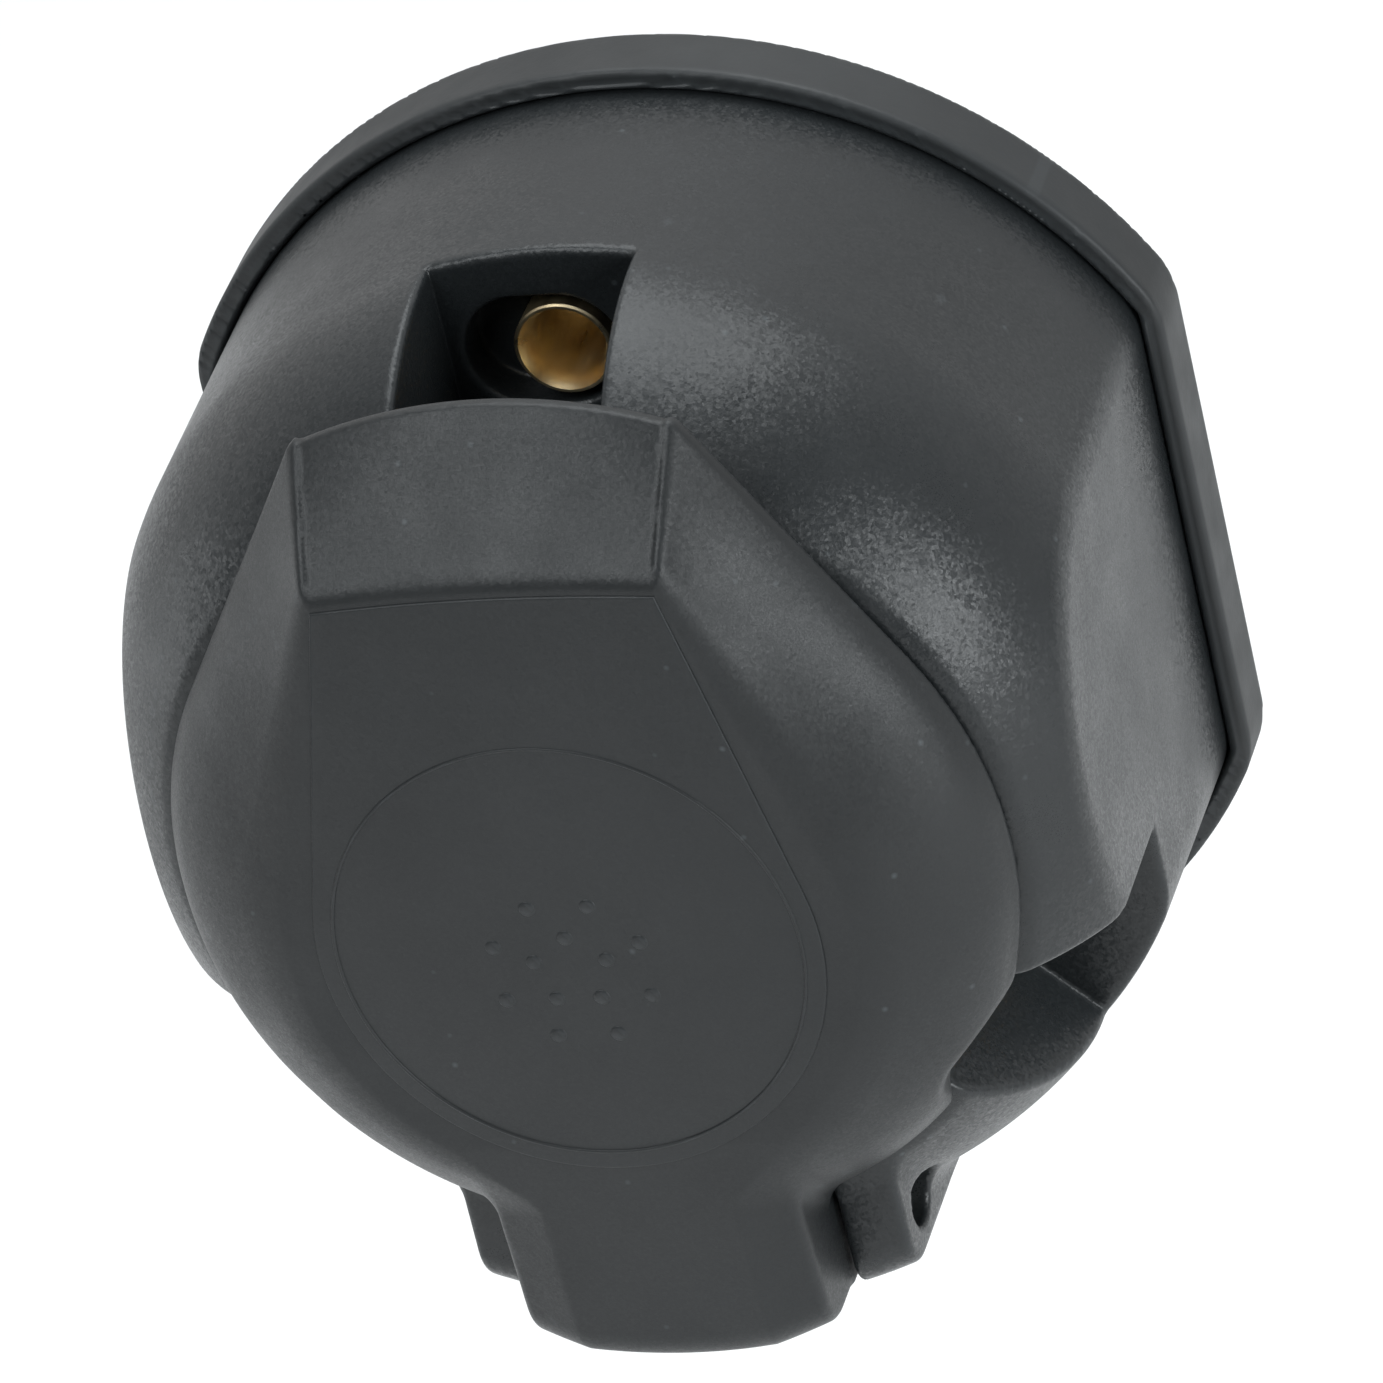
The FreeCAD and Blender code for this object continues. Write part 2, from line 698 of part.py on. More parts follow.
def keystone(half, top, crown, radius, centre_z=0):
    """The lid's outline: a round end below, straight sides, and a curved top edge."""
    half, top, radius, centre_z = [as_size(part) for part in (half, top, radius, centre_z)]
    touch_x, touch_z = tangent_point((half, top), radius, centre_z)
    crown_centre = (0, top - root(crown * crown - half * half))
    centre = (0, centre_z)
    return [(half, top), (touch_x, touch_z, centre), (0, centre_z - radius, centre),
            (-touch_x, touch_z), (-half, top, crown_centre)]


def lid_layers(inset, rear, front):
    """Outlines of the lid from its rear edge to its panel, moved inwards by inset."""
    share = s.shoulder_height / s.lid_height
    middle_half = s.tab_half + (s.panel_half - s.tab_half) * share
    middle_top = s.tab_top + (s.panel_top - s.tab_top) * share
    rim = keystone(s.tab_half - inset, s.tab_top - inset, s.tab_crown, s.lid_radius - inset)
    middle = keystone(middle_half - inset, middle_top - inset, s.tab_crown,
                      s.shoulder_radius - inset, -s.panel_drop * share)
    panel = keystone(s.panel_half - inset, s.panel_top - inset, s.panel_crown,
                     s.panel_radius - inset, -s.panel_drop)
    return [(rear, rim), (lid_rear + s.lid_band, rim),
            (lid_rear + s.shoulder_height, middle), (front, panel)]


def tongue():
    """The block that joins the lid to its hinge, with a round knuckle about the pin."""
    front, under = s.tongue_inset - lid_front, pin_z - s.knuckle_radius
    top, bend = -s.panel_radius, s.lug_round
    corner = (front + bend, under + bend)
    back, knuckle_top = pin_y + s.knuckle_radius, pin_z + s.knuckle_radius
    pin = (pin_y, pin_z)
    return bar("tongue", [(-lid_rear, top - s.tongue_cover), (s.tongue_head - lid_front, top),
                          (front, under + bend, corner), (front + bend, under), (pin_y, under, pin),
                          (back, pin_z, pin), (pin_y, knuckle_top), (-lid_rear, knuckle_top)],
               s.tongue_half)


def screw_relief(side):
    """Room beside the closed lid for the head of a lower fixing screw."""
    x, z = bolt_half_span - s.notch_run, -bolt_drop - s.notch_fall
    reach = s.lid_radius
    return slab("screw_relief", [[(side * x, z), (side * (x + reach), z + reach),
                                  (side * (x + reach), z - reach), (side * x, z - reach)]],
                s.face_depth - PAST, collar_front + PAST)


def make_lid():
    outer = loft("lid_outer", lid_layers(0, lid_rear, lid_front))
    inner = loft("lid_inner", lid_layers(s.lid_wall, lid_rear - PAST, lid_front - s.lid_wall))
    swing = cross_rod(pin_y, pin_z, s.spring_bay, swing_radius)
    ring = cut(cylinder(0, -s.panel_drop, lid_front - s.ring_depth, lid_front + PAST,
                        s.ring_radius + s.ring_width),
               cylinder(0, -s.panel_drop, lid_front - PAST, lid_front + 2 * PAST, s.ring_radius))
    seal_seat = cylinder(0, 0, lid_rear - PAST, lid_front - s.lid_wall, collar_radius)
    return cut(joined([outer, tongue()]), inner, seal_seat, swing, ring,
               cross_rod(pin_y, pin_z, s.lug_half, s.pin_radius + s.pin_play),
               screw_relief(1), screw_relief(-1))


def make_seal():
    """A rubber ring in the lid that closes on the collar's rim."""
    rear, front = collar_front + s.seal_seat, lid_front - s.lid_wall
    inner = collar_radius - s.seal_width
    return turned("seal", [(inner, -front), (collar_radius, -front), (collar_radius, -rear),
                           (inner, -rear)])


# ---------------------------------------------------------------- all sub-parts

piece(make_housing(), "housing")
piece(make_gasket(), "mounting_gasket")
piece(make_grommet(), "cable_grommet")
piece(make_insert(), "contact_insert")
piece(make_clamp_ring(), "insert_clamp_ring")
piece(make_retainer(), "contact_retainer")
terminals = [(x, z, s.outer_terminal) for x, z in OUTER_CONTACTS]
terminals += [(x, z, s.inner_terminal) for x, z in INNER_CONTACTS]
for number, terminal in enumerate(terminals, start=1):
    piece(make_contact(*terminal), "contact_%02d" % number)
piece(group([grub_rod(*terminal, s.wire_radius) for terminal in terminals]), "terminal_screws")
piece(group([make_insert_screw(x, z) for x, z in INSERT_SCREWS]), "insert_screws")
for side, (x, z) in zip(("top", "right", "left"), BOLTS):
    piece(make_bush(x, z), "mounting_bush_" + side)
piece(make_pin(), "hinge_pin")
piece(make_spring(), "lid_spring")
piece(make_lid(), "lid")
piece(make_seal(), "lid_seal")

doc.recompute()
for item in doc.Objects:
    if {"Invalid", "Error"} & set(item.State):
        raise RuntimeError("%s (%s) did not build" % (item.Name, item.Label))
for item in pieces:
    if item.Shape.isNull() or not item.Shape.isValid() or not item.Shape.Solids:
        raise RuntimeError("%s has no sound shape" % item.Label)

os.makedirs("parts", exist_ok=True)
for item in pieces:
    item.Shape.exportStep("parts/%s.step" % item.Label)
    print("%-24s %2d solids %9.1f mm3" % (item.Label, len(item.Shape.Solids), item.Shape.Volume))
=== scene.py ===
import itertools
import math

import bmesh
import bpy
import numpy as np
from mathutils import Matrix, Vector


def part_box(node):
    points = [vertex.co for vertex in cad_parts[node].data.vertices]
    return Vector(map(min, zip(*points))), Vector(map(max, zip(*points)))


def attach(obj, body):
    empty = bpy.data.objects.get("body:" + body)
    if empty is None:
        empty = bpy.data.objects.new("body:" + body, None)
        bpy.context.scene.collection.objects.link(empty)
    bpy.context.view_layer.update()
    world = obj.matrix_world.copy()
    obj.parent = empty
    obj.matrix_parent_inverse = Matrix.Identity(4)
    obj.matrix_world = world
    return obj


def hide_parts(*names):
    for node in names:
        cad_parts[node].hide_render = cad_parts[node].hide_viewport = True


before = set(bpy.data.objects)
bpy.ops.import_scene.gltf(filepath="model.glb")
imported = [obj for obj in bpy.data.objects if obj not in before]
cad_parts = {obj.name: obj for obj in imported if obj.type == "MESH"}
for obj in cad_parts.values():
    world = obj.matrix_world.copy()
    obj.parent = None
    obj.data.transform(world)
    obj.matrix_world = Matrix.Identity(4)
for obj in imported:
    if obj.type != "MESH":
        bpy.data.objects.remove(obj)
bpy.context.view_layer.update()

# Looks of a thirteen-way trailer socket with a sprung lid.
# +X is right, +Z is up, the mouth faces -Y, and a depth is a distance forward of the mounting
# face.  Shapes are worked out in millimetres and scaled to metres when a mesh is made.
# Moulded pieces are fields: functions of (x, y, z) that are negative inside the piece and give
# about the distance to its surface, so that edges and fillets get true round sections.

MM = 0.001
FINE = 1.0


def corners(node):
    """Lowest and highest corner of a CAD node, in millimetres."""
    low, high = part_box(node)
    return np.array(low) / MM, np.array(high) / MM


def middle(node):
    """Centre of a CAD node's box, in millimetres."""
    low, high = corners(node)
    return (low + high) / 2


# ---------------------------------------------------------------- sizes, in millimetres

housing_low, housing_high = corners("housing")
gasket_low, gasket_high = corners("mounting_gasket")
lid_low, lid_high = corners("lid")
seal_low, seal_high = corners("lid_seal")
block_low, block_high = corners("contact_insert")
grommet_low, grommet_high = corners("cable_grommet")
pin_y, pin_z = middle("hinge_pin")[1:]
BUSHES = ["mounting_bush_" + side for side in ("top", "right", "left")]
BOLTS = [tuple(middle(bush)[[0, 2]]) for bush in BUSHES]
bolt_span, bolt_drop = BOLTS[1][0], -BOLTS[1][1]

PLATE = -housing_high[1]                   # the gasket's plate, behind the housing
GASKET = gasket_high[2]
GASKET_FLAT = gasket_high[0]
GASKET_BAND = -gasket_low[1]
NECK = 13.0                                # radius of the hole for the grommet
SKIRT = GASKET - 1.7
FLAT = housing_high[0]
SKIRT_DRAFT = 0.4
COLLAR_FRONT = -housing_low[1]
FACE = COLLAR_FRONT - 4.5
DOME_START = FACE - 17.0
DOME_RADIUS = 22.0
DOME_CENTRE = SKIRT - SKIRT_DRAFT - DOME_RADIUS
WALL = 2.4
MOUTH = 18.0
COLLAR = MOUTH + WALL
CHAMBER = 24.0
CHAMBER_DEPTH = 23.0
POCKET_FLOOR = -corners(BUSHES[0])[0][1]
POCKET_NEAR = 6.5                          # from a bush to its pocket's nearer wall
POCKET_FAR = 8.2                           # from the top bush to its pocket's farther wall
POCKET_HEAD = 4.0                          # from a lower bush up to its pocket's top wall
RELIEF_DEPTH = 3.4
RELIEF_RADIUS = 4.2
RELIEF_RUN = 2.8
BUSH_RADIUS = (corners(BUSHES[0])[1][0] - corners(BUSHES[0])[0][0]) / 2
BUSH_BORE = 2.65
BOSS_RADIUS = 3.1                          # round a screw of the contact block
PILOT_RADIUS = 1.4
NOTCH_RADIUS = 2.2
NOTCH_INSET = 0.7
NOTCH_RUN = 9.0
UNDER_SKIN = 0.02                          # keeps inner walls just below the outer surface

HOUSING_CELL = 0.32                        # sizes of the cells that the meshes are made from
GASKET_CELL = 0.36
BLOCK_CELL = 0.3
LID_CELL = 0.29

FLAT_EDGE = 0.7                            # radii of the housing's edges and fillets
FACE_EDGE = 0.8
COLLAR_EDGE = 0.5
MOUTH_EDGE = 0.6
POCKET_EDGE = 0.5
INSIDE_EDGE = 0.3
SLOT_EDGE = 0.35
SINK_EDGE = 0.25
LUG_TOP_EDGE = 0.6
LUG_SIDE_EDGE = 0.5
LUG_FILLET = 1.4

LUG_HALF = 15.8
LUG_INSET = 1.0                            # how far the lugs' ends lie inside the gasket's radius
LUG_ROUND = 3.0
TONGUE_HALF = 10.9
KNUCKLE = 6.3
GAP = 0.4
SLOT_LEAN = 0.36                           # slope of the slot's back wall below the pin
HINGE_REAR_WALL = 3.6
SWING = KNUCKLE + GAP
SPRING_BAY = 5.0
PIN_RADIUS = 1.5
PIN_PLAY = 0.06
SINK_RADIUS = 2.1
PIN_SINK = 1.5

LID_FRONT = -lid_low[1]
LID_REAR = FACE + 0.3
LID_RADIUS = lid_high[0]
LID_BAND = 1.0
LID_DRAFT = 0.5                            # how much the rim narrows towards its front
LID_WALL = 2.0
LID_LEAN = 2.7                             # how much the slope narrows before its bulge
TAB_HALF = 13.4
TAB_TOP = 34.9
TAB_CROWN = 37.3
SLOPE_HALF = 12.5
SLOPE_TOP = 26.9
SLOPE_CROWN = 149.0
SLOPE_RADIUS = 20.5
SCOOP_INSET = 0.55
SCOOP_FOOT = 0.15
SCOOP_DEPTH = 0.35
BEVEL_HALF = 6.9                           # half of the tongue's front between its bevels
BEVEL_SLOPE = 0.36
TONGUE_FALL = 0.09                         # slope of the tongue's front below the panel
PANEL_HALF = 12.0
PANEL_TOP = 26.0
PANEL_CROWN = 149.0
PANEL_RADIUS = 17.8
PANEL_DROP = 1.7
PANEL_STEP = 0.15                          # panel above the lid
BEAD_STEP = 0.1                            # bead above the panel
RING_RADIUS = 16.4

LID_EDGE = 1.1                             # radii of the lid's edges and fillets
SCOOP_EDGE = 0.3
TONGUE_EDGE = 0.6
TONGUE_FILLET = 1.6
RIM_EDGE = 0.4
ROOM_EDGE = 0.3
SWING_EDGE = 0.2
SCREW_ROOM_EDGE = 0.5


# ---------------------------------------------------------------- joining fields

def round_max(one, other, radius):
    """What two fields share, with a round edge."""
    edge = np.hypot(np.maximum(one + radius, 0), np.maximum(other + radius, 0))
    return np.minimum(-radius, np.maximum(one, other)) + edge


def round_min(one, other, radius):
    """Two fields together, with a fillet between them."""
    return -round_max(-one, -other, radius)


def carve(field, tool, radius):
    """A field less a tool, with a round edge."""
    return round_max(field, -tool, radius)


def rod(x, z, centre, radius):
    """An endless round bar along Y."""
    return np.hypot(x - centre[0], z - centre[1]) - radius


def around(count, radius, first_angle):
    """Places (x, z) evenly round the axis."""
    angles = [math.radians(first_angle + 360 * number / count) for number in range(count)]
    return [(radius * math.cos(angle), radius * math.sin(angle)) for angle in angles]


def keystone(x, z, half, top, crown, radius, centre_z, bend):
    """A round end below, straight sides that touch it, and a curved top edge."""
    u, v = np.abs(x), z - centre_z
    reach = np.hypot(half, top - centre_z)
    tilt = np.arctan2(top - centre_z, half) - np.arccos(radius / reach)
    across = u * np.cos(tilt) + v * np.sin(tilt)
    along = v * np.cos(tilt) - u * np.sin(tilt)
    side = np.where(along > 0, across, np.hypot(across, along)) - radius
    crown_centre = top - np.sqrt(crown * crown - half * half)
    return round_max(side, np.hypot(x, z - crown_centre) - crown, bend)


# ---------------------------------------------------------------- meshes

def net(field, low, high, cell):
    """Points and four-sided faces where a field is zero, between two corners."""
    axes = [np.arange(start - 2 * cell, end + 3 * cell, cell) for start, end in zip(low, high)]
    grid = np.meshgrid(*axes, indexing="ij", sparse=True)
    shape = tuple(len(axis) for axis in axes)
    values = np.ascontiguousarray(np.broadcast_to(field(*grid), shape))
    inside = values < 0
    filled = np.zeros([length - 1 for length in shape], np.int8)
    for corner in itertools.product((0, 1), repeat=3):
        filled += inside[tuple(slice(c, c + n - 1) for c, n in zip(corner, shape))]
    cells = np.argwhere((filled > 0) & (filled < 8))
    number = np.full(filled.shape, -1)
    number[tuple(cells.T)] = np.arange(len(cells))

    total, hits = np.zeros((len(cells), 3)), np.zeros(len(cells))
    steps = np.eye(3, dtype=int)
    for axis in range(3):
        for side in itertools.product((0, 1), repeat=2):
            start = cells + np.insert(side, axis, 0)
            first = values[tuple(start.T)]
            last = values[tuple((start + steps[axis]).T)]
            crossed = (first < 0) != (last < 0)
            share = first[crossed] / (first[crossed] - last[crossed])
            total[crossed] += start[crossed] + share[:, None] * steps[axis]
            hits[crossed] += 1
    points = np.array([axis[0] for axis in axes]) + cell * total / hits[:, None]

    faces = []
    for axis in range(3):
        one, two = steps[(axis + 1) % 3], steps[(axis + 2) % 3]
        from_one = tuple(slice(0 if n == axis else 1, -1) for n in range(3))
        to_next = tuple(slice(1, None if n == axis else -1) for n in range(3))
        edges = np.argwhere(inside[from_one] != inside[to_next]) + (1 - steps[axis])
        ring = (edges, edges - one, edges - one - two, edges - two)
        loop = np.stack([number[tuple(spot.T)] for spot in ring], axis=1)
        leaving = inside[tuple(edges.T)]
        faces += [loop[leaving], loop[~leaving][:, ::-1]]
    return settle(field, points, cell), np.concatenate(faces)


def settle(field, points, cell):
    """Moves points on to a field's zero surface, by at most half a cell in each round."""
    rounds = 3
    nudge = 0.02
    least_square = 0.3                     # keeps moves short where a field is flat
    for _ in range(rounds):
        value = field(*points.T)
        slope = np.stack([field(*(points + shift).T) - field(*(points - shift).T)
                          for shift in nudge * np.eye(3)], axis=1) / (2 * nudge)
        square = np.maximum((slope ** 2).sum(axis=1), least_square)
        move = slope * (value / square)[:, None]
        length = np.maximum(np.linalg.norm(move, axis=1), 1e-9)
        points = points - move * np.minimum(1, 0.5 * cell / length)[:, None]
    return points


def new_object(name, points, faces):
    """A mesh object from points in millimetres."""
    if isinstance(faces, np.ndarray):
        faces = faces.tolist()
    mesh = bpy.data.meshes.new(name)
    mesh.from_pydata((np.asarray(points) * MM).tolist(), [], faces)
    mesh.update()
    piece = bpy.data.objects.new(name, mesh)
    bpy.context.scene.collection.objects.link(piece)
    return piece


def finish_piece(piece, material, body, nodes=()):
    """Gives a piece its material and body, and hides the CAD nodes that it stands for."""
    piece.data.materials.append(material)
    piece.data.shade_smooth()
    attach(piece, body)
    if nodes:
        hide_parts(*nodes)
    return piece


def moulded(name, field, low, high, cell, material, body, nodes=()):
    """A piece from a field, meshed between two corners."""
    points, faces = net(field, low, high, cell * FINE)
    return finish_piece(new_object(name, points, faces), material, body, nodes)


def mark_creases(piece, angle):
    """Keeps edges sharper than an angle as creases in the shading."""
    shape = bmesh.new()
    shape.from_mesh(piece.data)
    for edge in shape.edges:
        edge.smooth = len(edge.link_faces) == 2 and edge.calc_face_angle() < math.radians(angle)
    shape.to_mesh(piece.data)
    shape.free()
    piece.data.update()


def face_outwards(piece):
    """Turns the faces of a closed piece outwards."""
    shape = bmesh.new()
    shape.from_mesh(piece.data)
    bmesh.ops.recalc_face_normals(shape, faces=shape.faces)
    shape.to_mesh(piece.data)
    shape.free()
    return piece


def lathe(name, outline, centre, segments):
    """A solid of revolution about an axis along Y, from a closed (radius, y) outline."""
    count = len(outline)
    points, faces = [], []
    for step in range(segments):
        angle = math.tau * step / segments
        points += [(centre[0] + radius * math.cos(angle), y, centre[1] + radius * math.sin(angle))
                   for radius, y in outline]
        here, after = step * count, (step + 1) % segments * count
        faces += [(here + n, here + (n + 1) % count, after + (n + 1) % count, after + n)
                  for n in range(count)]
    return face_outwards(new_object(name, points, faces))


def round_outline(outline, radius):
    """An outline with its corners rounded."""
    steps = 4
    longest = 0.45                         # most of a side that one corner may take
    result = []
    neighbours = zip(outline[-1:] + outline[:-1], outline, outline[1:] + outline[:1])
    for before, here, after in neighbours:
        here = np.array(here, float)
        back, ahead = np.array(before) - here, np.array(after) - here
        reach = min(radius, np.linalg.norm(back) * longest, np.linalg.norm(ahead) * longest)
        start = here + back / np.linalg.norm(back) * reach
        end = here + ahead / np.linalg.norm(ahead) * reach
        for step in range(steps + 1):
            share = step / steps
            spot = start * (1 - share) ** 2 + here * 2 * share * (1 - share) + end * share ** 2
            result.append(tuple(spot))
    return result


# ---------------------------------------------------------------- materials

def new_material(name):
    material = bpy.data.materials.new(name)
    material.use_nodes = True
    tree = material.node_tree
    return material, tree, tree.nodes["Principled BSDF"]


class Tree:
    """Short calls for building a material's nodes."""

    def __init__(self, tree):
        self.tree = tree
        self.place = self.node("ShaderNodeTexCoord").outputs["Object"]

    def node(self, kind, **values):
        made = self.tree.nodes.new(kind)
        for name, value in values.items():
            setattr(made, name, value)
        return made

    def link(self, source, target):
        self.tree.links.new(source, target)

    def fill(self, socket, value):
        if isinstance(value, bpy.types.NodeSocket):
            self.link(value, socket)
        else:
            socket.default_value = value

    def noise(self, scale, detail=3.0, roughness=0.5, stretch=None):
        made = self.node("ShaderNodeTexNoise")
        made.inputs["Scale"].default_value = scale
        made.inputs["Detail"].default_value = detail
        made.inputs["Roughness"].default_value = roughness
        place = self.place
        if stretch:
            mapping = self.node("ShaderNodeMapping")
            mapping.inputs["Scale"].default_value = stretch
            self.link(place, mapping.inputs["Vector"])
            place = mapping.outputs["Vector"]
        self.link(place, made.inputs["Vector"])
        return made.outputs["Fac"]

    def cells(self, scale):
        made = self.node("ShaderNodeTexVoronoi")
        made.inputs["Scale"].default_value = scale
        self.link(self.place, made.inputs["Vector"])
        return made

    def ramp(self, value, low, high, start=0.0, end=1.0):
        made = self.node("ShaderNodeMapRange")
        limits = {"From Min": low, "From Max": high, "To Min": start, "To Max": end}
        for name, number in limits.items():
            made.inputs[name].default_value = number
        self.fill(made.inputs["Value"], value)
        return made.outputs["Result"]

    def calc(self, operation, one, other):
        made = self.node("ShaderNodeMath", operation=operation)
        self.fill(made.inputs[0], one)
        self.fill(made.inputs[1], other)
        return made.outputs[0]

    def mix(self, share, one, other):
        made = self.node("ShaderNodeMix", data_type="RGBA")
        self.fill(made.inputs[0], share)
        self.fill(made.inputs[6], one)
        self.fill(made.inputs[7], other)
        return made.outputs[2]

    def vector(self, operation, one, other):
        made = self.node("ShaderNodeVectorMath", operation=operation)
        self.fill(made.inputs[0], one)
        self.fill(made.inputs[1], other)
        return made.outputs[0]

    def sparkle(self, scale, tilt, normal):
        """A normal that leans a little at random from grain to grain."""
        lean = self.vector("SUBTRACT", self.cells(scale).outputs["Color"], (0.5, 0.5, 0.5))
        lean = self.vector("MULTIPLY", lean, (tilt, tilt, tilt))
        return self.vector("NORMALIZE", self.vector("ADD", normal, lean), (0, 0, 0))

    def bump(self, height, distance):
        made = self.node("ShaderNodeBump")
        made.inputs["Distance"].default_value = distance
        self.link(height, made.inputs["Height"])
        return made.outputs["Normal"]


COOL = (0.86, 1.0, 1.08)                   # red, green and blue of a grey that leans to blue
PLASTIC_IOR = 1.46
GRAIN_SIZE = 0.3                           # millimetres
CLOUD_SCALE = 45                           # this scale and those below are per metre
MOTTLE_SCALE = 420
SPECK_SCALE = 420
PATCH_SCALE = 160
BLOOM_SCALE = 70
TARNISH_SCALE = 260
TOOL_MARKS = (900, 60, 900)
SCRATCH_DEPTH = 0.004                      # millimetres
RUBBER_GRAIN_DEPTH = 0.012


def grey(level):
    return (level * COOL[0], level * COOL[1], level * COOL[2], 1.0)


def plastic(name, level, roughness, grain, tilt, specks=0.5, edge_highlight_strength=0.35):
    """Moulded plastic with an etched grain, faint cloudiness, dust specks and a painted highlight
    along its convex edges.
    """
    material, nodes, shader = new_material(name)
    t = Tree(nodes)
    clouds = t.ramp(t.noise(CLOUD_SCALE, 4), 0.3, 0.7)
    mottle = t.ramp(t.noise(MOTTLE_SCALE, 3), 0.3, 0.7)
    colour = t.mix(clouds, grey(level * 0.88), grey(level * 1.12))
    colour = t.mix(t.calc("MULTIPLY", mottle, 0.25), colour, grey(level * 1.35))
    edges = t.node("ShaderNodeNewGeometry").outputs["Pointiness"]
    # Painted highlight: convex edges, found by pointiness, are lightened as if light caught their
    # rounding.
    edge_highlight = t.ramp(edges, 0.515, 0.6, 0.0, edge_highlight_strength)
    colour = t.mix(edge_highlight, colour, grey(level * 3.2))
    spots = t.cells(SPECK_SCALE)
    spot = t.ramp(spots.outputs["Distance"], 0.0, 0.12, 1.0, 0.0)
    chance = t.node("ShaderNodeSeparateColor")
    t.link(spots.outputs["Color"], chance.inputs["Color"])
    rare = t.ramp(chance.outputs["Red"], 0.72, 0.78, 0.0, specks)
    colour = t.mix(t.calc("MULTIPLY", spot, rare), colour, grey(level * 7))
    t.link(colour, shader.inputs["Base Color"])
    etched = t.noise(1000 / GRAIN_SIZE, 2.0, 0.6)
    glints = t.ramp(t.noise(2600 / GRAIN_SIZE, 2), 0.35, 0.65, -0.06, 0.06)
    patches = t.ramp(t.noise(PATCH_SCALE, 3), 0.3, 0.7, roughness - 0.04, roughness + 0.05)
    t.link(t.calc("ADD", patches, glints), shader.inputs["Roughness"])
    shader.inputs["IOR"].default_value = PLASTIC_IOR
    t.link(t.sparkle(1300 / GRAIN_SIZE, tilt, t.bump(etched, grain * MM)), shader.inputs["Normal"])
    return material


def rubber(name, level, roughness):
    """Soft moulded rubber, finer and duller than the plastic, with a dusty bloom and a painted
    highlight along its convex edges.
    """
    material, nodes, shader = new_material(name)
    t = Tree(nodes)
    bloom = t.ramp(t.noise(BLOOM_SCALE, 5, 0.6), 0.35, 0.7)
    colour = t.mix(bloom, grey(level * 0.85), grey(level * 1.2))
    # Painted highlight: convex edges, found by pointiness, are lightened as if light caught their
    # rounding.
    edges = t.node("ShaderNodeNewGeometry").outputs["Pointiness"]
    colour = t.mix(t.ramp(edges, 0.52, 0.6, 0.0, 0.3), colour, grey(level * 2.5))
    t.link(colour, shader.inputs["Base Color"])
    t.link(t.ramp(t.noise(300, 3), 0.3, 0.7, roughness - 0.05, roughness + 0.05),
           shader.inputs["Roughness"])
    t.link(t.bump(t.noise(3200, 2), RUBBER_GRAIN_DEPTH * MM), shader.inputs["Normal"])
    return material


def metal(name, colour, dark, roughness):
    """Metal with tool marks, patches of tarnish and small scratches."""
    material, nodes, shader = new_material(name)
    t = Tree(nodes)
    tarnish = t.ramp(t.noise(TARNISH_SCALE, 4, 0.6), 0.35, 0.75)
    t.link(t.mix(tarnish, colour, dark), shader.inputs["Base Color"])
    shader.inputs["Metallic"].default_value = 1.0
    marks = t.noise(1.0, 3, 0.6, TOOL_MARKS)
    t.link(t.ramp(marks, 0.3, 0.7, roughness - 0.07, roughness + 0.08), shader.inputs["Roughness"])
    t.link(t.bump(marks, SCRATCH_DEPTH * MM), shader.inputs["Normal"])
    return material


# Each plastic below gets a painted highlight on its convex edges; the last number sets its
# strength.
HOUSING_PLASTIC = plastic("housing_plastic", level=0.016, roughness=0.35, grain=0.02, tilt=0.14)
LID_PLASTIC = plastic("lid_plastic", level=0.012, roughness=0.44, grain=0.014, tilt=0.08,
                      specks=0.7)
INSERT_PLASTIC = plastic("insert_plastic", level=0.019, roughness=0.35, grain=0.008, tilt=0.05,
                         specks=0.2, edge_highlight_strength=0.15)
GASKET_RUBBER = rubber("gasket_rubber", level=0.017, roughness=0.52)
SEAL_RUBBER = rubber("seal_rubber", level=0.014, roughness=0.6)
BRASS = metal("brass", (0.93, 0.79, 0.53, 1), (0.86, 0.68, 0.4, 1), 0.34)
CONTACT_BRASS = metal("contact_brass", (0.62, 0.47, 0.22, 1), (0.45, 0.32, 0.13, 1), 0.28)
PLATED_STEEL = metal("plated_steel", (0.56, 0.57, 0.55, 1), (0.4, 0.39, 0.34, 1), 0.32)
SPRING_STEEL = metal("spring_steel", (0.42, 0.42, 0.42, 1), (0.28, 0.27, 0.26, 1), 0.3)


# ---------------------------------------------------------------- housing

def skin(x, y, z, inset):
    """The housing's outer form: a drafted skirt, a domed front and two side flats."""
    depth = -y
    draft = SKIRT_DRAFT * np.maximum(DOME_START - depth, 0) / (DOME_START - PLATE)
    out = np.maximum(np.hypot(x, z) - DOME_CENTRE - draft, 0)
    form = np.hypot(out, np.maximum(depth - DOME_START, 0)) - (DOME_RADIUS - inset)
    return round_max(form, np.abs(x) - FLAT + inset, FLAT_EDGE)


def pockets(x, z, grow):
    """Outlines of the three screw pockets, their walls moved outwards by grow."""
    top = np.maximum(x - POCKET_NEAR - grow, MOUTH - z)
    top = np.maximum(top, -x - POCKET_FAR - grow)
    corner = bolt_span - bolt_drop - (POCKET_NEAR + grow) * math.sqrt(2)
    level = z - (POCKET_HEAD + grow - bolt_drop)
    slanted = (corner - np.abs(x) - z) / math.sqrt(2)
    low = np.maximum(np.maximum(level, slanted), MOUTH - np.abs(x))
    keep = COLLAR + WALL - grow - np.hypot(x, z)
    return np.maximum(np.minimum(top, low), keep)


def reliefs(x, z, grow):
    """Oblong outlines round the bushes."""
    nearest = np.inf
    for centre_x, centre_z in BOLTS:
        across = np.clip(x - centre_x, -RELIEF_RUN, 0)
        nearest = np.minimum(nearest, np.hypot(x - centre_x - across, z - centre_z))
    return nearest - RELIEF_RADIUS - grow


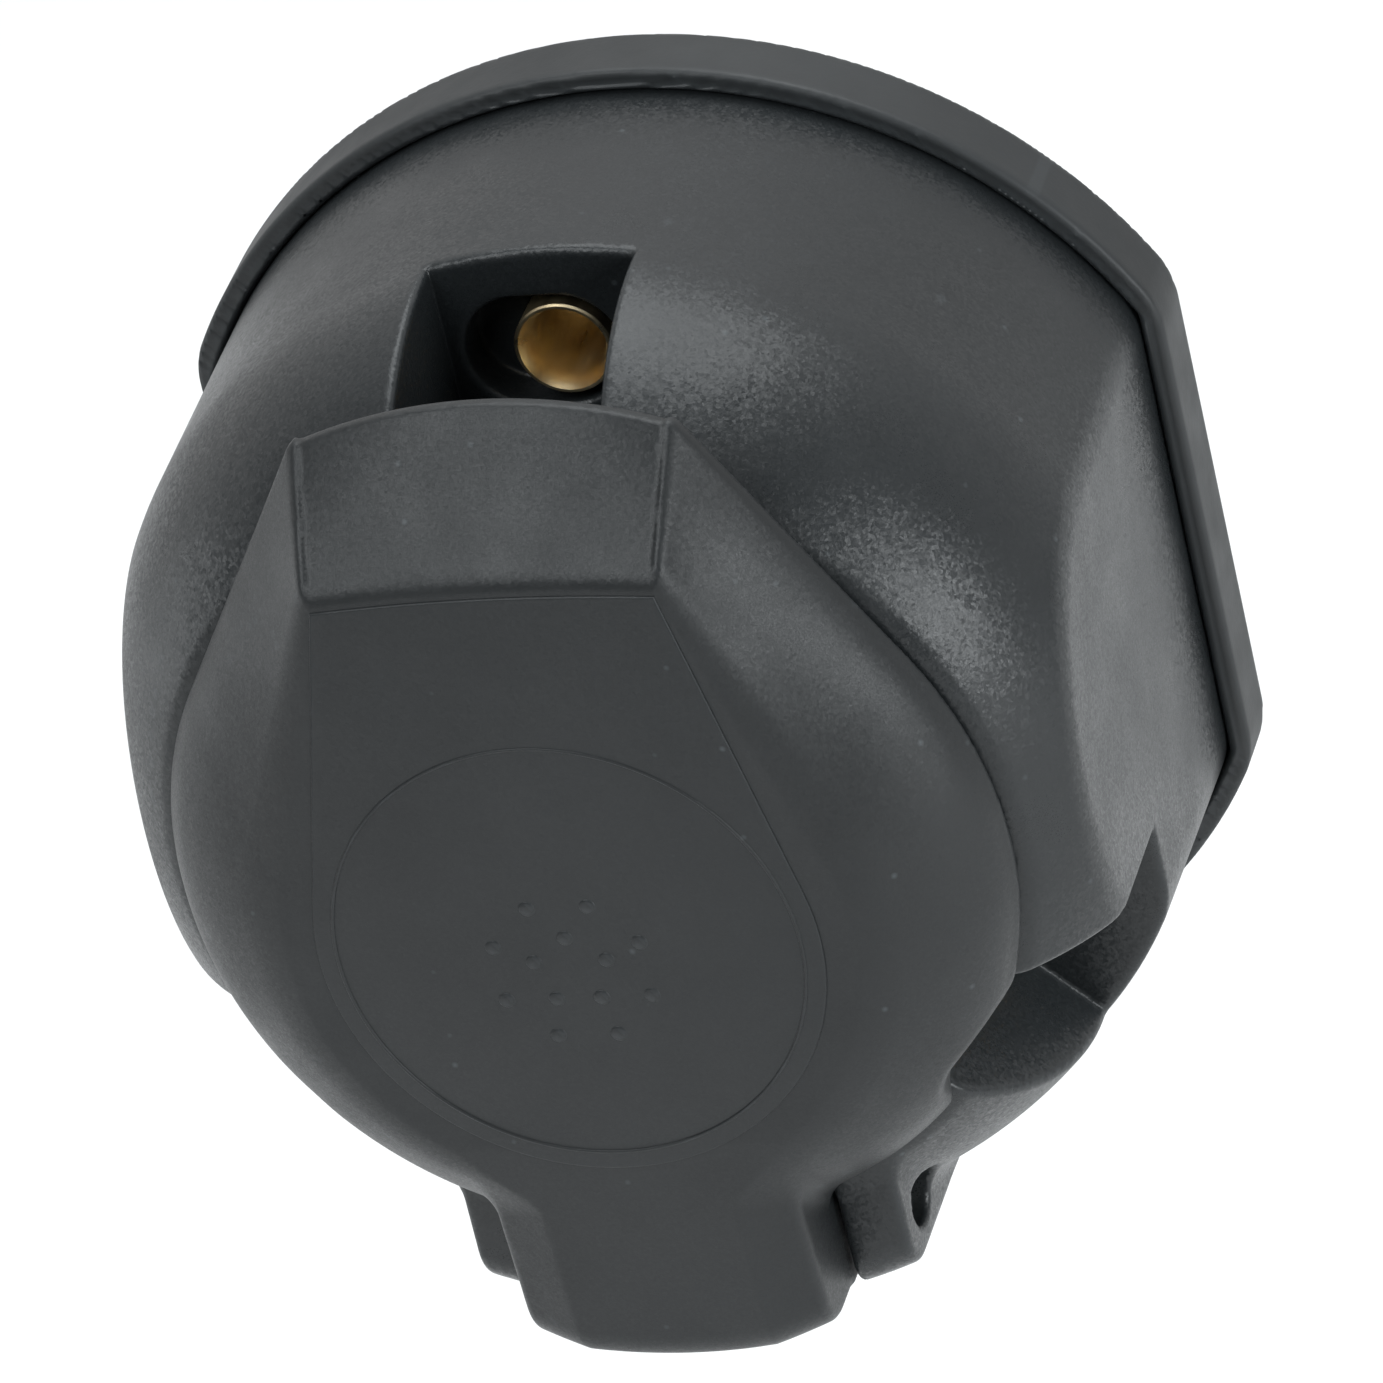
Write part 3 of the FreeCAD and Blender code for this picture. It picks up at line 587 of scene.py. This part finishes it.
def bars(x, z, places, radius):
    """Endless round bars along Y, one at each place."""
    nearest = np.inf
    for place in places:
        nearest = np.minimum(nearest, rod(x, z, place, radius))
    return nearest


INSERT_SCREWS = around(3, 21.2, 30)
NOTCHES = around(3, MOUTH - NOTCH_INSET, 90)
SCREW_REACH = CHAMBER_DEPTH + 12.0


def hinge_slot(x, y, z):
    """Space for the lid's knuckle, whose back wall leans away below the pin."""
    beside, above = y - pin_y, z - pin_z
    top = np.where(beside < 0, above, np.hypot(beside, above)) - SWING
    below = (beside - SWING + SLOT_LEAN * above) / math.hypot(1, SLOT_LEAN)
    return np.maximum(np.where(above > 0, top, below), np.abs(x) - TONGUE_HALF - GAP)


def hinge_block(x, y, z):
    """The solid that holds the hinge pin."""
    front, under = -y - FACE, np.hypot(x, z) - (GASKET - LUG_INSET)
    rear, top = y - (SWING + HINGE_REAR_WALL + pin_y), z - (SWING + WALL + pin_z)
    block = round_max(round_max(front, under, LUG_ROUND), np.maximum(rear, top), LUG_TOP_EDGE)
    return round_max(block, np.abs(x) - LUG_HALF, LUG_SIDE_EDGE)


def uncut_housing(x, y, z):
    """The hollow housing with its linings, bosses, lugs and collar, before openings are cut."""
    depth, r = -y, np.hypot(x, z)
    outer = round_max(skin(x, y, z, 0), depth - FACE, FACE_EDGE)
    cavity = np.maximum(skin(x, y, z, WALL), depth - (FACE - WALL))
    cavity = np.maximum(cavity, -np.maximum(r - CHAMBER - WALL, depth - CHAMBER_DEPTH - WALL))
    cavity = np.maximum(cavity, COLLAR - r)
    solid = carve(outer, cavity, INSIDE_EDGE)
    lining = np.maximum(pockets(x, z, WALL), POCKET_FLOOR - WALL - depth)
    boss = np.maximum(reliefs(x, z, WALL), depth - POCKET_FLOOR)
    screw_boss = np.maximum(bars(x, z, INSERT_SCREWS, BOSS_RADIUS),
                            np.abs(depth - (CHAMBER_DEPTH + SCREW_REACH) / 2)
                            - (SCREW_REACH - CHAMBER_DEPTH) / 2)
    inner = np.minimum(np.minimum(lining, boss), screw_boss)
    solid = np.minimum(solid, np.maximum(inner, outer + UNDER_SKIN))
    solid = round_min(solid, hinge_block(x, y, z), LUG_FILLET)
    collar = round_max(r - COLLAR, depth - COLLAR_FRONT, COLLAR_EDGE)
    return round_min(solid, np.maximum(collar, FACE - 1 - depth), COLLAR_EDGE)


def housing(x, y, z):
    """The housing with its chamber, mouth, pockets, slot, notches and holes."""
    depth, r = -y, np.hypot(x, z)
    solid = uncut_housing(x, y, z)
    solid = carve(solid, np.maximum(r - CHAMBER, depth - CHAMBER_DEPTH), INSIDE_EDGE)
    solid = carve(solid, r - MOUTH, MOUTH_EDGE)
    solid = carve(solid, np.maximum(pockets(x, z, 0), POCKET_FLOOR - depth), POCKET_EDGE)
    relief = np.maximum(reliefs(x, z, 0), POCKET_FLOOR - RELIEF_DEPTH - depth)
    solid = carve(solid, relief, INSIDE_EDGE)
    solid = carve(solid, hinge_slot(x, y, z), SLOT_EDGE)
    notches = bars(x, z, NOTCHES, NOTCH_RADIUS)
    solid = carve(solid, np.maximum(notches, COLLAR_FRONT - NOTCH_RUN - depth), INSIDE_EDGE)
    pilots = np.maximum(bars(x, z, INSERT_SCREWS, PILOT_RADIUS), depth - SCREW_REACH + WALL)
    solid = np.maximum(solid, -np.minimum(pilots, bars(x, z, BOLTS, BUSH_RADIUS)))
    about_pin = np.hypot(y - pin_y, z - pin_z)
    sink = np.maximum(about_pin - SINK_RADIUS, LUG_HALF - PIN_SINK - np.abs(x))
    solid = carve(solid, np.minimum(sink, about_pin - PIN_RADIUS), SINK_EDGE)
    return np.maximum(solid, PLATE - depth)


moulded("housing_shell", housing, housing_low, housing_high, HOUSING_CELL, HOUSING_PLASTIC,
        "socket", ["housing"])


# ---------------------------------------------------------------- gasket and grommet

def gasket(x, y, z):
    """A rubber cup behind the housing, with a fine groove along the lip that meets the skirt."""
    depth, r = -y, np.hypot(x, z)
    groove_radius = 0.16
    flare_reach = 0.28
    outer = round_max(r - GASKET, np.abs(x) - GASKET_FLAT, 0.8)
    lip = GASKET_FLAT - FLAT
    cup = round_max(outer, depth - GASKET_BAND, 0.5)
    cup = round_max(cup, -depth, 0.4)
    groove = np.hypot(outer + lip * 0.45, depth - GASKET_BAND) - groove_radius
    cup = carve(cup, groove, 0.1)
    flare = np.maximum(flare_reach - (GASKET_BAND - depth) * 0.5, 0)
    room = np.maximum(np.maximum(r - SKIRT, np.abs(x) - FLAT) - flare, PLATE - depth)
    cup = np.maximum(cup, -room)
    return np.maximum(cup, -np.minimum(r - NECK, bars(x, z, BOLTS, BUSH_RADIUS)))


moulded("rubber_gasket", gasket, gasket_low, gasket_high, GASKET_CELL, GASKET_RUBBER,
        "socket", ["mounting_gasket"])

grommet_bore, grommet_flange = 5.5, grommet_high[0]
grommet_back, grommet_inside = grommet_high[1], grommet_low[1]
ribs = [(11.0, 1.5)]
for number in range(4):
    y = 3.2 + number * 2.3
    radius = 10.6 - number * 0.62
    ribs += [(radius, y), (radius - 0.9, y + 0.75),
             (radius - 0.9, y + 1.25), (radius - 0.1, y + 1.9)]
grommet_outline = [(grommet_bore, grommet_inside), (grommet_flange, grommet_inside),
                   (grommet_flange, -PLATE), (NECK, -PLATE), (NECK, 0.0)] + ribs
grommet_outline += [(8.0, grommet_back - 1.0), (7.6, grommet_back), (grommet_bore, grommet_back)]
grommet = lathe("rubber_grommet", round_outline(grommet_outline, 0.5), (0, 0), 128)
mark_creases(grommet, 50)
finish_piece(grommet, GASKET_RUBBER, "socket", ["cable_grommet"])


# ---------------------------------------------------------------- contact block

BLOCK = 15.0
CONTACTS = ["contact_%02d" % number for number in range(1, 14)]
CONTACT_PLACES = [tuple(middle(contact)[[0, 2]]) for contact in CONTACTS]


def contact_block(x, y, z):
    """The block that carries the contacts: a chamfered hole for each and a keyway."""
    depth, r = -y, np.hypot(x, z)
    front, rear = -block_low[1], -block_high[1]
    foot = np.maximum(r - block_high[0], depth - rear - 1.5)
    block = np.minimum(round_max(r - BLOCK, depth - front, 0.6), foot)
    block = np.maximum(block, rear - depth)
    rim = np.hypot(r - BLOCK + 1.6, depth - front) - 0.2      # a fine ring groove
    block = carve(block, rim, 0.1)
    key = np.maximum(np.abs(x) - 1.5, np.maximum(BLOCK - 1.2 - z, CHAMBER_DEPTH + 3.0 - depth))
    block = carve(block, key, 0.2)
    return carve(block, bars(x, z, CONTACT_PLACES, 1.9), 0.35)


moulded("contact_block", contact_block, block_low, block_high, BLOCK_CELL, INSERT_PLASTIC,
        "socket", ["contact_insert"])


# ---------------------------------------------------------------- bushes

for bush, place in zip(BUSHES, BOLTS):
    flare = BUSH_RADIUS - 0.3
    outline = [(BUSH_BORE, 0), (BUSH_RADIUS, 0), (BUSH_RADIUS, -POCKET_FLOOR + 0.15),
               (BUSH_RADIUS - 0.12, -POCKET_FLOOR), (flare, -POCKET_FLOOR),
               (flare - 0.15, -POCKET_FLOOR + 0.35), (BUSH_BORE, -POCKET_FLOOR + 1.3)]
    sleeve = lathe(bush.replace("mounting_bush", "brass_bush"), outline, place, 80)
    mark_creases(sleeve, 30)
    finish_piece(sleeve, BRASS, "socket", [bush])


# ---------------------------------------------------------------- lid

lid_plane = LID_FRONT - PANEL_STEP - BEAD_STEP


def slope_share(depth):
    """How far a depth lies from the lid's band, at 0, to its front, at 1."""
    foot = LID_REAR + LID_BAND
    return np.clip((depth - foot) / (LID_FRONT - foot), 0, 1)


def lid_form(x, y, z, inset):
    """The lid's outside: a drafted rim, sides that slope in to the front, a domed lower end."""
    depth = -y
    share = slope_share(depth)
    draft = LID_DRAFT * np.clip((depth - LID_REAR) / LID_BAND, 0, 1)
    bulge = LID_RADIUS - LID_DRAFT - LID_LEAN - SLOPE_RADIUS
    radius = LID_RADIUS - draft - LID_LEAN * share - bulge * share ** 2
    half = TAB_HALF + (SLOPE_HALF - TAB_HALF) * share
    top = TAB_TOP + (SLOPE_TOP - TAB_TOP) * share
    crown = TAB_CROWN + (SLOPE_CROWN - TAB_CROWN) * share ** 2
    side = keystone(x, z, half, top, crown, radius, -PANEL_DROP * share ** 2, 0.5)
    return side + inset


def lid_scoop(x, y, z):
    """A shallow finger grip in the slope above the panel."""
    half = TAB_HALF + (SLOPE_HALF - TAB_HALF) * slope_share(-y) - SCOOP_INSET
    grip = np.maximum(np.abs(x) - half, SLOPE_TOP + SCOOP_FOOT - z)
    return np.maximum(grip, -(lid_form(x, y, z, 0) + SCOOP_DEPTH))


def tongue_front(z):
    """Depth of the tongue's front, level with the lid at its top and falling towards its foot."""
    return lid_plane - TONGUE_FALL * np.maximum(-PANEL_RADIUS - z, 0)


def tongue_body(x, y, z):
    """The solid between the lid and its hinge, bevelled along its sides."""
    depth = -y
    front = tongue_front(z)
    bevel = (np.abs(x) - BEVEL_HALF) * BEVEL_SLOPE + depth - front
    face = np.maximum(depth - front, bevel / math.hypot(1, BEVEL_SLOPE))
    under = np.hypot(x, z) - (KNUCKLE - pin_z)
    body = round_max(face, under, LUG_ROUND)
    return round_max(body, np.abs(x) - TONGUE_HALF, TONGUE_EDGE)


def screw_relief(x, z):
    """Room beside the closed lid for the head of a lower fixing screw."""
    corner_x, corner_z = bolt_span - 4.4, -bolt_drop - 2.2
    u, v = np.abs(x) - corner_x, z - corner_z
    return round_max(-u, (v - u) / math.sqrt(2), 1.5)


def lid_outside(x, y, z):
    """The lid with its scoop and the head of its tongue, as a solid."""
    depth = -y
    outer = round_max(lid_form(x, y, z, 0), depth - lid_plane, LID_EDGE)
    outer = carve(outer, lid_scoop(x, y, z), SCOOP_EDGE)
    head = np.maximum(tongue_body(x, y, z), z + PANEL_RADIUS - 2.0)
    outer = round_min(outer, head, TONGUE_FILLET)
    outer = np.maximum(outer, depth - tongue_front(z))
    return round_max(outer, LID_REAR - depth, RIM_EDGE)


def lid(x, y, z):
    """The lid with its knuckle, hollow behind and cleared for the pin, spring and screws."""
    depth, r = -y, np.hypot(x, z)
    outer = lid_outside(x, y, z)
    about_pin = np.hypot(y - pin_y, z - pin_z)
    arm = np.maximum(tongue_body(x, y, z), np.maximum(z - pin_z - KNUCKLE, y - pin_y))
    knuckle = round_max(about_pin - KNUCKLE, np.abs(x) - TONGUE_HALF, TONGUE_EDGE)
    knuckle = np.maximum(knuckle, np.hypot(x, z) - (KNUCKLE - pin_z))
    whole = np.minimum(outer, np.minimum(arm, knuckle))

    room = np.maximum(lid_form(x, y, z, LID_WALL), depth - (LID_FRONT - LID_WALL))
    room = np.minimum(room, np.maximum(r - COLLAR, depth - (LID_FRONT - LID_WALL)))
    whole = carve(whole, room, ROOM_EDGE)
    swing = np.maximum(about_pin - SWING, np.abs(x) - SPRING_BAY)
    whole = carve(whole, swing, SWING_EDGE)
    whole = np.maximum(whole, PIN_RADIUS + PIN_PLAY - about_pin)
    return carve(whole, screw_relief(x, z), SCREW_ROOM_EDGE)


moulded("lid_shell", lid, lid_low, lid_high, LID_CELL, LID_PLASTIC, "lid", ["lid"])


def keystone_outline(half, top, crown, radius, centre_z, inset):
    """Points (x, z) round a keystone, moved inwards by inset."""
    steps = 64                             # round the lower end
    crown_steps = 16
    half, top, radius = half - inset, top - inset, radius - inset
    reach = math.hypot(half, top - centre_z)
    tilt = math.atan2(top - centre_z, half) - math.acos(radius / reach)
    turn = [tilt - (math.pi + 2 * tilt) * step / steps for step in range(steps + 1)]
    points = [(radius * math.cos(angle), centre_z + radius * math.sin(angle)) for angle in turn]
    crown_centre = top - math.sqrt(crown ** 2 - half ** 2)
    edge = math.asin(half / crown)
    for step in range(crown_steps + 1):
        angle = edge * (2 * step / crown_steps - 1)
        points.append((crown * math.sin(angle), crown_centre + crown * math.cos(angle)))
    return points


def plate(name, levels):
    """A plate from (depth, outline) levels, closed by flat faces at both ends."""
    count = len(levels[0][1])
    points = [(x, -depth, z) for depth, outline in levels for x, z in outline]
    faces = [tuple(range(count)), tuple(reversed(range(len(points) - count, len(points))))]
    for level in range(len(levels) - 1):
        start = level * count
        faces += [(start + (n + 1) % count, start + n, start + count + n,
                   start + count + (n + 1) % count) for n in range(count)]
    return face_outwards(new_object(name, points, faces))


def panel_outline(inset):
    return keystone_outline(PANEL_HALF, PANEL_TOP, PANEL_CROWN, PANEL_RADIUS, -PANEL_DROP, inset)


panel_front = LID_FRONT - BEAD_STEP
panel = plate("lid_panel", [(panel_front - 0.6, panel_outline(0)),
                            (panel_front - 0.08, panel_outline(0)),
                            (panel_front - 0.02, panel_outline(0.05)),
                            (panel_front, panel_outline(0.14))])
mark_creases(panel, 50)
finish_piece(panel, LID_PLASTIC, "lid")


def bead(name, radius, centre_z, half_width, foot):
    """A fine raised ring on the panel."""
    height = LID_FRONT - foot
    angles = [math.pi * step / 8 for step in range(9)]
    outline = [(radius + half_width * math.cos(angle), -(foot + height * math.sin(angle)))
               for angle in angles]
    return lathe(name, outline, (0, centre_z), 192)


ring = bead("panel_ring", RING_RADIUS, -PANEL_DROP, 0.14, panel_front - 0.03)
finish_piece(ring, LID_PLASTIC, "lid")


def stud(place, radius, foot):
    """Outline of one low round stud of the panel's mark."""
    x, z = place
    levels = []
    for share in (0, 0.35, 0.65, 0.9):
        depth = foot + (LID_FRONT - 0.015 - foot) * share
        size = radius * math.sqrt(1 - share ** 2 * 0.55)
        levels.append((depth, [(x + a, z + b) for a, b in around(20, size, 0)]))
    return plate("stud", levels)


studs = [stud((x, z - PANEL_DROP - 1.5), 0.62, panel_front - 0.05)
         for x, z in around(8, 5.6, 22.5) + around(5, 2.7, 90)]
mark = studs[0]
bpy.context.view_layer.update()
with bpy.context.temp_override(active_object=mark, selected_editable_objects=studs):
    bpy.ops.object.join()
mark.name = "panel_mark"
finish_piece(mark, LID_PLASTIC, "lid")

seal_inner, seal_outer = COLLAR - 4.4, seal_high[0]
seal_outline = [(seal_inner, seal_low[1]), (seal_outer, seal_low[1]), (seal_outer, seal_high[1]),
                (seal_outer - 1.2, seal_high[1]), (seal_outer - 1.7, seal_high[1] - 0.5),
                (seal_outer - 2.6, seal_high[1] - 0.5), (seal_outer - 3.1, seal_high[1]),
                (seal_inner, seal_high[1])]
seal = lathe("rubber_seal", round_outline(seal_outline, 0.3), (0, 0), 128)
mark_creases(seal, 50)
finish_piece(seal, SEAL_RUBBER, "lid", ["lid_seal"])


# ---------------------------------------------------------------- CAD pieces that stay

def dress(node, material):
    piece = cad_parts[node]
    piece.data.materials.clear()
    piece.data.materials.append(material)


for contact in CONTACTS:
    dress(contact, CONTACT_BRASS)
dress("insert_clamp_ring", INSERT_PLASTIC)
dress("contact_retainer", INSERT_PLASTIC)
dress("terminal_screws", PLATED_STEEL)
dress("insert_screws", PLATED_STEEL)
dress("hinge_pin", PLATED_STEEL)
dress("lid_spring", SPRING_STEEL)


# ---------------------------------------------------------------- floor, light and camera

FLOOR_Z = -0.13
FLOOR_HALF = 6

floor_material, floor_nodes, floor_shader = new_material("floor")
floor_tree = Tree(floor_nodes)
floor_tree.link(floor_tree.mix(floor_tree.noise(6, 3), (0.86, 0.86, 0.86, 1), (0.9, 0.9, 0.9, 1)),
                floor_shader.inputs["Base Color"])
floor_shader.inputs["Roughness"].default_value = 0.9
floor_mesh = bpy.data.meshes.new("floor")
floor_corners = [(-FLOOR_HALF, -FLOOR_HALF, FLOOR_Z), (FLOOR_HALF, -FLOOR_HALF, FLOOR_Z),
                 (FLOOR_HALF, FLOOR_HALF, FLOOR_Z), (-FLOOR_HALF, FLOOR_HALF, FLOOR_Z)]
floor_mesh.from_pydata(floor_corners, [], [(0, 1, 2, 3)])
floor = bpy.data.objects.new("floor", floor_mesh)
floor.data.materials.append(floor_material)
bpy.context.scene.collection.objects.link(floor)

WORLD_FRONT, WORLD_BACK = 0.12, 0.8       # brightness in front of the object and behind it

world = bpy.data.worlds.new("studio")
world.use_nodes = True
sky = Tree(world.node_tree)
height = sky.node("ShaderNodeSeparateXYZ")
sky.link(sky.node("ShaderNodeTexCoord").outputs["Generated"], height.inputs[0])
backdrop = world.node_tree.nodes["Background"]
backdrop.inputs["Color"].default_value = (1, 1, 1, 1)
sky.link(sky.ramp(height.outputs["Y"], -0.3, 0.4, WORLD_FRONT, WORLD_BACK),
         backdrop.inputs["Strength"])
bpy.context.scene.world = world


def soft_box(name, direction, distance, size, power):
    """A square area light that looks at the object."""
    data = bpy.data.lights.new(name, "AREA")
    data.shape = "RECTANGLE"
    data.size, data.size_y = size
    data.energy = power
    data.color = (0.96, 1.0, 1.02)
    light = bpy.data.objects.new(name, data)
    direction = Vector(direction).normalized()
    light.location = direction * distance
    light.rotation_mode = "QUATERNION"
    light.rotation_quaternion = (-direction).to_track_quat("-Z", "Y")
    bpy.context.scene.collection.objects.link(light)


def from_angles(azimuth, elevation):
    """A direction, with azimuth from the front towards the right, in degrees."""
    azimuth, elevation = math.radians(azimuth), math.radians(elevation)
    return (math.sin(azimuth) * math.cos(elevation), -math.cos(azimuth) * math.cos(elevation),
            math.sin(elevation))


soft_box("right_light", from_angles(61, 14), 0.9, (0.36, 0.42), 3.9)
soft_box("front_light", from_angles(-24, 44), 0.9, (0.5, 0.5), 3.4)
soft_box("left_light", from_angles(-88, -4), 0.9, (0.5, 0.4), 1.0)
soft_box("back_light", from_angles(170, 78), 1.2, (1.0, 1.0), 11)

CAMERA_AZIMUTH = 20.82                     # degrees
CAMERA_ELEVATION = 30.66
CAMERA_ROLL = -13.64
CAMERA_DISTANCE = 0.71268                  # metres
CAMERA_LENS = 260.4                        # millimetres
CAMERA_ASIDE = -0.00342                    # metres in the picture
CAMERA_ABOVE = -0.01213

azimuth = math.radians(CAMERA_AZIMUTH)
back = Vector(from_angles(CAMERA_AZIMUTH, CAMERA_ELEVATION))
right = Vector((math.cos(azimuth), math.sin(azimuth), 0))
right = Matrix.Rotation(math.radians(CAMERA_ROLL), 3, back) @ right
up = back.cross(right)
camera_data = bpy.data.cameras.new("camera")
camera_data.lens = CAMERA_LENS
camera_data.sensor_width = 36
camera_data.clip_start, camera_data.clip_end = 0.05, 20
camera = bpy.data.objects.new("camera", camera_data)
camera.matrix_world = Matrix.Translation(back * CAMERA_DISTANCE + right * CAMERA_ASIDE
                                         + up * CAMERA_ABOVE) @ Matrix(
    (right, up, back)).transposed().to_4x4()
bpy.context.scene.collection.objects.link(camera)
bpy.context.scene.camera = camera
bpy.context.scene.view_settings.view_transform = "Standard"
